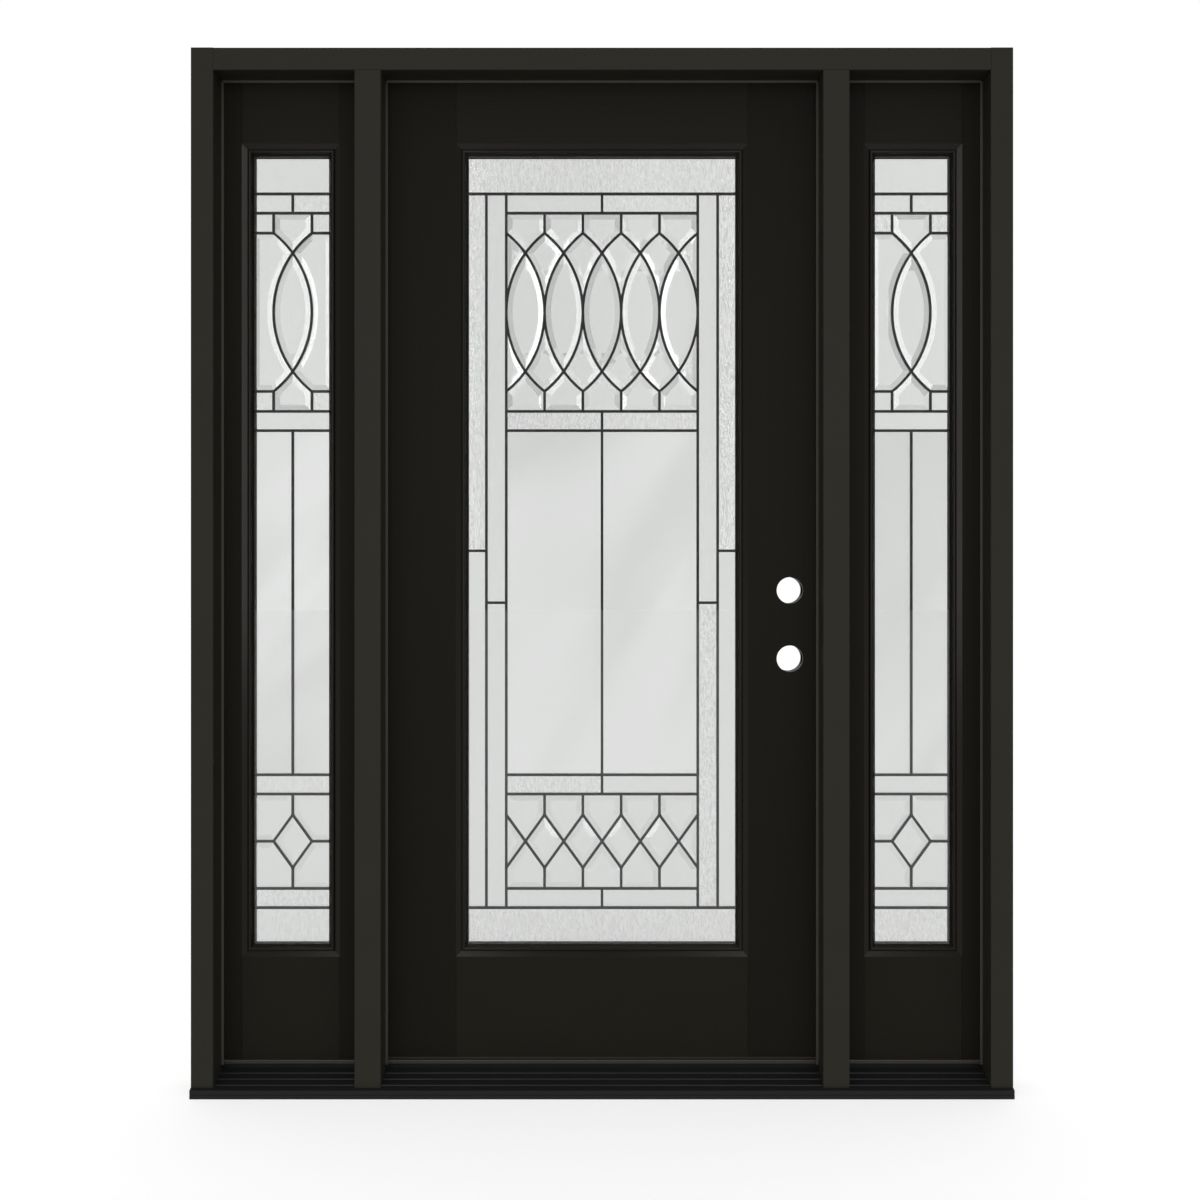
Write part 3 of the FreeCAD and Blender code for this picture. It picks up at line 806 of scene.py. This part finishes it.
class DOOR_OT_paint_panels(bpy.types.Operator):
    """Paints the stiles, the rails and the glazing beads."""

    bl_idname = "door.paint_panels"
    bl_label = "Door and sidelight panels"

    def execute(self, context):
        finish = context.scene.door_finish
        looks = {"roughness": 0.44, "depth": finish.grain_depth, "Specular_IOR_Level": PAINT_SHINE}
        stiles = grained_material("stile_paint", finish.panel_colour, level=0.0, **looks)
        # Painted light: the rails take a lighter copy of the panel paint
        rail_colour_with_painted_light = [shade * RAIL_PAINTED_LIGHT for shade in finish.panel_colour]
        rails = grained_material("rail_paint_with_painted_light", rail_colour_with_painted_light, level=1.0, **looks)
        beads = varied_material("bead_paint", finish.panel_colour, roughness=0.2, Specular_IOR_Level=0.14)
        paint(["door_hinge_stile", "door_lock_stile", "left_sidelight_stiles", "right_sidelight_stiles"],
              stiles)
        paint(["door_bottom_rail", "door_top_rail", "left_sidelight_rails", "right_sidelight_rails"], rails)
        paint(units("outer_bead", "inner_bead"), beads)
        return {"FINISHED"}


class DOOR_OT_finish_sill(bpy.types.Operator):
    """Finishes the sill's metal deck, its core and the threshold caps."""

    bl_idname = "door.finish_sill"
    bl_label = "Sill"

    def execute(self, context):
        finish = context.scene.door_finish
        deck = varied_material("sill_metal", finish.sill_colour, roughness=0.32, cloud_scale=20.0,
                               Metallic=0.3, Specular_IOR_Level=0.2)
        cap = varied_material("cap_finish", finish.cap_colour, roughness=0.4, cloud_scale=15.0)
        core = grained_material("sill_core", finish.core_colour, roughness=0.7, depth=finish.grain_depth,
                                level=1.0)
        paint(["sill_deck"], deck)
        paint([side + "_sill_cap" for side in SIDES], cap)
        paint(["sill_base"], core)
        return {"FINISHED"}


class DOOR_OT_fit_weatherstrip(bpy.types.Operator):
    """Sweeps the rounded weatherstrip round the stops and fits the door's finned sweep."""

    bl_idname = "door.fit_weatherstrip"
    bl_label = "Weatherstrip"

    def execute(self, context):
        finish = context.scene.door_finish
        trim = context.scene.door_trim
        rubber = varied_material("seal_rubber", finish.seal_colour, roughness=0.5, cloud_scale=30.0,
                                 amount=0.2, speckle=0.00003, Specular_IOR_Level=0.2)
        tree = trim_tree(rubber)
        for side in SIDES:
            self.run_strip(side, tree, trim)
        self.run_sweep(tree, trim)
        return {"FINISHED"}

    def run_strip(self, side, tree, trim):
        """The strip against the stops at both sides and the head of one opening."""
        low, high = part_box(side + "_seal")
        width = trim.strip_width
        profile = strip_profile(width, high.y - low.y)
        runs = (
            ((low.x + width, low.y, low.z), (low.x + width, low.y, high.z), 0.0),
            ((low.x, low.y, high.z - width), (high.x, low.y, high.z - width), math.pi / 2),
            ((high.x - width, low.y, high.z), (high.x - width, low.y, low.z), math.pi),
        )
        piece = run_tree(side + "_weatherstrip", tree, sweep_mesh(side + "_weatherstrip", runs, profile))
        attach(piece, "frame")
        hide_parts(side + "_seal")

    def run_sweep(self, tree, trim):
        """The carrier under the door with its row of fins."""
        low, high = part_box("door_sweep")
        profile = sweep_profile(high.y - low.y, high.z - low.z, trim.fin_count, trim.fin_thickness)
        runs = (((low.x, low.y, high.z), (high.x, low.y, high.z), math.pi / 2),)
        piece = run_tree("door_finned_sweep", tree, sweep_mesh("door_finned_sweep", runs, profile))
        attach(piece, "door")
        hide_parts("door_sweep")


def strip_profile(width, depth):
    """The outline of the foam bulb, as distances into the opening and to the inside, with a round nose."""
    radius = depth / 2
    nose = []
    for k in range(NOSE_STEPS + 1):
        angle = -math.pi / 2 + math.pi * k / NOSE_STEPS
        nose.append((-radius + radius * math.cos(angle), radius + radius * math.sin(angle)))
    return [(-width, 0.0)] + nose + [(-width, depth)]


def sweep_profile(depth, drop, fins, thickness):
    """The outline of the sweep, as distances down and to the inside: a carrier with a row of fins."""
    carrier = drop * CARRIER_SHARE
    pitch = (depth - thickness) / (fins - 1)
    outline = [(0.0, depth), (0.0, 0.0)]
    for k in range(fins):
        y = k * pitch
        outline += [(carrier, y), (drop, y), (drop, y + thickness), (carrier, y + thickness)]
    return outline


def trim_tree(material):
    """A tree that sweeps one outline along each straight run, each turned by its own angle."""
    tree, source = new_tree("swept_trim")
    parts = add(tree, "GeometryNodeSeparateGeometry", {
        "Geometry": source["Geometry"],
        "Selection": add(tree, "GeometryNodeInputNamedAttribute", {"Name": "is_outline"},
                         data_type="BOOLEAN").outputs[0]})
    outline = add(tree, "GeometryNodeMeshToCurve", {"Mesh": parts.outputs["Selection"]})
    runs = add(tree, "GeometryNodeMeshToCurve", {"Mesh": parts.outputs["Inverted"]})
    turn = add(tree, "GeometryNodeInputNamedAttribute", {"Name": "turn"}, data_type="FLOAT").outputs[0]
    turned = add(tree, "GeometryNodeSetCurveTilt", {"Curve": runs.outputs[0], "Tilt": turn})
    swept = add(tree, "GeometryNodeCurveToMesh", {
        "Curve": turned.outputs[0], "Profile Curve": outline.outputs[0], "Fill Caps": True})
    end_tree(tree, swept.outputs[0], material)
    return tree


def sweep_mesh(name, runs, profile):
    """A starting mesh that holds straight runs and the outline to sweep along them."""
    points, edges, turns = [], [], []
    for start, finish, turn in runs:
        edges.append((len(points), len(points) + 1))
        points += [start, finish]
        turns += [turn, turn]
    first = len(points)
    count = len(profile)
    points += [(x, y, 0.0) for x, y in profile]
    edges += [(first + i, first + (i + 1) % count) for i in range(count)]
    mesh = mesh_of(name, points, edges)
    mesh.attributes.new("is_outline", "BOOLEAN", "POINT").data.foreach_set(
        "value", [False] * first + [True] * count)
    mesh.attributes.new("turn", "FLOAT", "POINT").data.foreach_set("value", turns + [0.0] * count)
    return mesh


class DOOR_OT_glaze_panes(bpy.types.Operator):
    """Gives the plain outer and inner panes their clear glass."""

    bl_idname = "door.glaze_panes"
    bl_label = "Plain panes"

    def execute(self, context):
        tint = context.scene.door_glass.tint
        glass, tree, shader = new_material("clear_glass", Transmission_Weight=1.0, IOR=1.5)
        varied = use_group(tree, "surface_variation", {
            "Colour": opaque(tint), "Amount": 0.01, "Scale": 3.0, "Roughness": 0.0, "Roughness Amount": 0.0})
        tree.links.new(varied["Colour"], shader.inputs["Base Color"])
        tree.links.new(varied["Roughness"], shader.inputs["Roughness"])
        paint(units("outer_pane", "inner_pane"), glass)
        return {"FINISHED"}


class DOOR_OT_lead_glass(bpy.types.Operator):
    """Makes the bevelled pieces with painted shade, the rippled pieces, and the middle panes with a painted
    reflection, between the cames.
    """

    bl_idname = "door.lead_glass"
    bl_label = "Leaded glass"

    def execute(self, context):
        settings = context.scene.door_glass
        came = varied_material("came_patina", settings.came_colour, roughness=0.38, cloud_scale=60.0,
                               amount=0.4, speckle=0.00005, Metallic=0.4, Specular_IOR_Level=0.25)
        paint(units("cames"), came)
        kinds = self.glass_kinds(settings)
        draw = random.Random(settings.seed)
        for unit in UNITS:
            self.make_unit(unit, kinds, settings, draw)
        return {"FINISHED"}

    def glass_kinds(self, settings):
        """The three kinds of glass: bevelled with painted shade, rippled with painted light and shade, and
        the middle panes' glass with a painted reflection in soft streaks.
        """
        made = []
        looks = (
            ("bevelled_glass", 0.0, {"Tint Amount": 0.0}),
            # Rippled glass: a real bump, and painted light and shade in its colour
            ("rippled_glass", RIPPLE_DEPTH, {"Tint Amount": 0.36}),
            # Painted reflection: broad diagonal bands, darker and lighter, in the middle panes' glass colour
            ("middle_glass_painted_reflection", 0.0, {"Tint Amount": -0.16, "Across": 1.6, "Along": 0.5, "Skew": -0.8}),
        )
        for name, depth, values in looks:
            glass, tree, shader = new_material(name, Transmission_Weight=1.0, IOR=1.5, Roughness=0.0)
            shade = add(tree, "ShaderNodeAttribute", attribute_name="shade").outputs["Fac"]
            ripple = use_group(tree, "water_ripple", {
                "Tint": opaque(settings.tint), "Shade": shade, **values})
            tree.links.new(ripple["Tint"], shader.inputs["Base Color"])
            if depth:
                bump = add(tree, "ShaderNodeBump", {"Height": ripple["Height"], "Distance": depth})
                tree.links.new(bump.outputs[0], shader.inputs["Normal"])
            made.append(glass)
        return made

    def make_unit(self, unit, kinds, settings, draw):
        """All the glass pieces of one unit, in one mesh."""
        node = unit + "art_glass"
        low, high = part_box(node)
        verts, faces, zones, looks, shades = [], [], [], [], []
        for number, loop in enumerate(glass_outlines(node)):
            share = (high.z - loop_middle(loop).y) / (high.z - low.z)
            strength = bevel_strength(loop, share)
            look = self.look_of(loop, share, strength)
            if strength:
                slope, shade_of = self.cut_of(loop, strength, settings, draw)
                more, shapes = bevelled_piece(loop, settings.bevel_width, slope, shade_of, low.y, high.y)
            else:
                shade = draw.random() ** 2 if look == RIPPLED else 1.0
                more, shapes = flat_piece(loop, shade, low.y, high.y)
            faces += [tuple(len(verts) + i for i in face) for face, _, _ in shapes]
            zones += [(number, zone) for _, zone, _ in shapes]
            shades += [shade for _, _, shade in shapes]
            looks += [look] * len(shapes)
            verts += more
        name = unit + "leaded_pieces"
        mesh = mesh_of(name, verts, faces=faces)
        piece = put_in_scene(name, mesh, kinds, body_of_unit(unit))
        mesh.polygons.foreach_set("material_index", looks)
        mesh.polygons.foreach_set("use_smooth", [True] * len(looks))
        # Painted shade of each bevel side, or how strong a piece's ripple is
        mesh.attributes.new("shade", "FLOAT", "FACE").data.foreach_set("value", shades)
        sharpen_between(mesh, zones)
        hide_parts(node)

    def look_of(self, loop, share, strength):
        """Which kind of glass a piece is."""
        if strength:
            return BEVELLED
        middle = sized(loop)[0] > WIDEST_BORDER and abs(share - MIDDLE_SHARE) < MIDDLE_REACH
        return REFLECTION_PAINTED_STREAKS if middle else RIPPLED

    def cut_of(self, loop, strength, settings, draw):
        """The slope of a piece's bevels and the painted shade of each side. Some pieces mirror a soft box
        from the sides that lean to the door's middle, and the rest miss the boxes. Sides that mirror a box
        get no painted shade."""
        x = loop_middle(loop).x
        usable = [slope for slope in glint_slopes(x, -x) if LEAST_SLOPE < slope < GREATEST_SLOPE]
        glints = usable and (abs(x) > slab_half or draw.random() < settings.glint_share)
        bright = glint_slopes(x, -x) + glint_slopes(x, x)
        slope = max(DULL_SLOPES, key=lambda slope: min(abs(slope - other) for other in bright))
        if glints:
            slope = min(usable) + draw.uniform(-GLINT_SPREAD, GLINT_SPREAD)
        sides, outward = sides_of(loop)
        inward = -1 if x > 0 else 1
        # Painted shade on the bevel sides that do not mirror a box
        darkest = 1.0 - strength * (1.0 - settings.darkest_painted_bevel_shade)
        shades = []
        for side in range(max(sides) + 1):
            lean = sum((outward[i] for i, s in enumerate(sides) if s == side), Vector((0, 0))).normalized()
            clear = glints and lean.x * inward > CLEAR_LEAN
            shades.append(1.0 if clear else draw.uniform(darkest, 1.0))
        return slope, shades


class DOOR_OT_fit_hinges(bpy.types.Operator):
    """Finishes the hinges and drives their screws."""

    bl_idname = "door.fit_hinges"
    bl_label = "Hinges"

    def execute(self, context):
        finish = context.scene.door_finish
        trim = context.scene.door_trim
        metal = varied_material("hinge_metal", finish.hinge_colour, roughness=0.33, cloud_scale=40.0,
                                amount=0.25, Metallic=0.85)
        paint(["hinge_door_leaves", "hinge_jamb_leaves", "hinge_pins"], metal)
        tree = self.screw_tree(metal)
        for node, body, turn in (("hinge_door_leaves", "door", 1), ("hinge_jamb_leaves", "frame", -1)):
            self.drive_screws(node, body, turn, tree, trim)
        return {"FINISHED"}

    def screw_tree(self, metal):
        """A tree that sets a low conical screw head on each point."""
        tree, source = new_tree("hinge_screws", ("Radius", "Rise", "Turn"))
        head = add(tree, "GeometryNodeMeshCone", {
            "Vertices": SCREW_SIDES, "Radius Bottom": source["Radius"], "Depth": source["Rise"],
            "Radius Top": times(tree, source["Radius"], SCREW_TAPER)})
        turned = add(tree, "ShaderNodeCombineXYZ", {1: source["Turn"]})
        placed = add(tree, "GeometryNodeInstanceOnPoints", {
            "Points": source["Geometry"], "Instance": head.outputs["Mesh"], "Rotation": turned.outputs[0]})
        end_tree(tree, placed.outputs[0], metal)
        return tree

    def drive_screws(self, node, body, turn, tree, trim):
        """The screws of all the leaves on one body, in two columns on each leaf's bare face."""
        low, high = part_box("hinge_pins")
        pitch = (high.z - low.z - trim.leaf_height - trim.pin_extra) / (HINGE_COUNT - 1)
        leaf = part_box(node)[0]
        face_x = trim.leaf_face * turn + (low.x + high.x) / 2
        run = trim.leaf_height - 2 * trim.screw_edge
        points = []
        for hinge in range(HINGE_COUNT):
            for row in range(SCREW_ROWS):
                z = leaf.z + hinge * pitch + trim.screw_edge + run * row / (SCREW_ROWS - 1)
                column = trim.screw_near if row % 2 else trim.screw_far
                points.append((face_x, leaf.y + column, z))
        name = body + "_hinge_screws"
        piece = run_tree(name, tree, mesh_of(name, points), Radius=trim.screw_radius,
                         Rise=trim.screw_rise, Turn=-turn * math.pi / 2)
        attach(piece, body)


class DOOR_PT_panel(bpy.types.Panel):
    """Lists the settings and the steps in the 3D view's sidebar."""

    bl_idname = "DOOR_PT_panel"
    bl_label = "Entry door with sidelights"
    bl_space_type = "VIEW_3D"
    bl_region_type = "UI"
    bl_category = "Door"

    def draw(self, context):
        for group, kind in SETTINGS.items():
            box = self.layout.box()
            settings = getattr(context.scene, group)
            for name in kind.__annotations__:
                box.prop(settings, name)
        for step in STEPS:
            self.layout.operator(step.bl_idname)


STEPS = (
    DOOR_OT_make_stage,
    DOOR_OT_paint_frame,
    DOOR_OT_paint_panels,
    DOOR_OT_finish_sill,
    DOOR_OT_fit_weatherstrip,
    DOOR_OT_glaze_panes,
    DOOR_OT_lead_glass,
    DOOR_OT_fit_hinges,
)


def register():
    """Registers the settings, the steps and the panel."""
    for group, kind in SETTINGS.items():
        bpy.utils.register_class(kind)
        setattr(bpy.types.Scene, group, bpy.props.PointerProperty(type=kind))
    for step in STEPS:
        bpy.utils.register_class(step)
    bpy.utils.register_class(DOOR_PT_panel)


def unregister():
    """Takes out what register put in."""
    bpy.utils.unregister_class(DOOR_PT_panel)
    for step in reversed(STEPS):
        bpy.utils.unregister_class(step)
    for group, kind in SETTINGS.items():
        delattr(bpy.types.Scene, group)
        bpy.utils.unregister_class(kind)


def main():
    """Makes the whole door."""
    register()
    for step in STEPS:
        area, name = step.bl_idname.split(".")
        getattr(getattr(bpy.ops, area), name)()


if __name__ == "__main__":
    main()
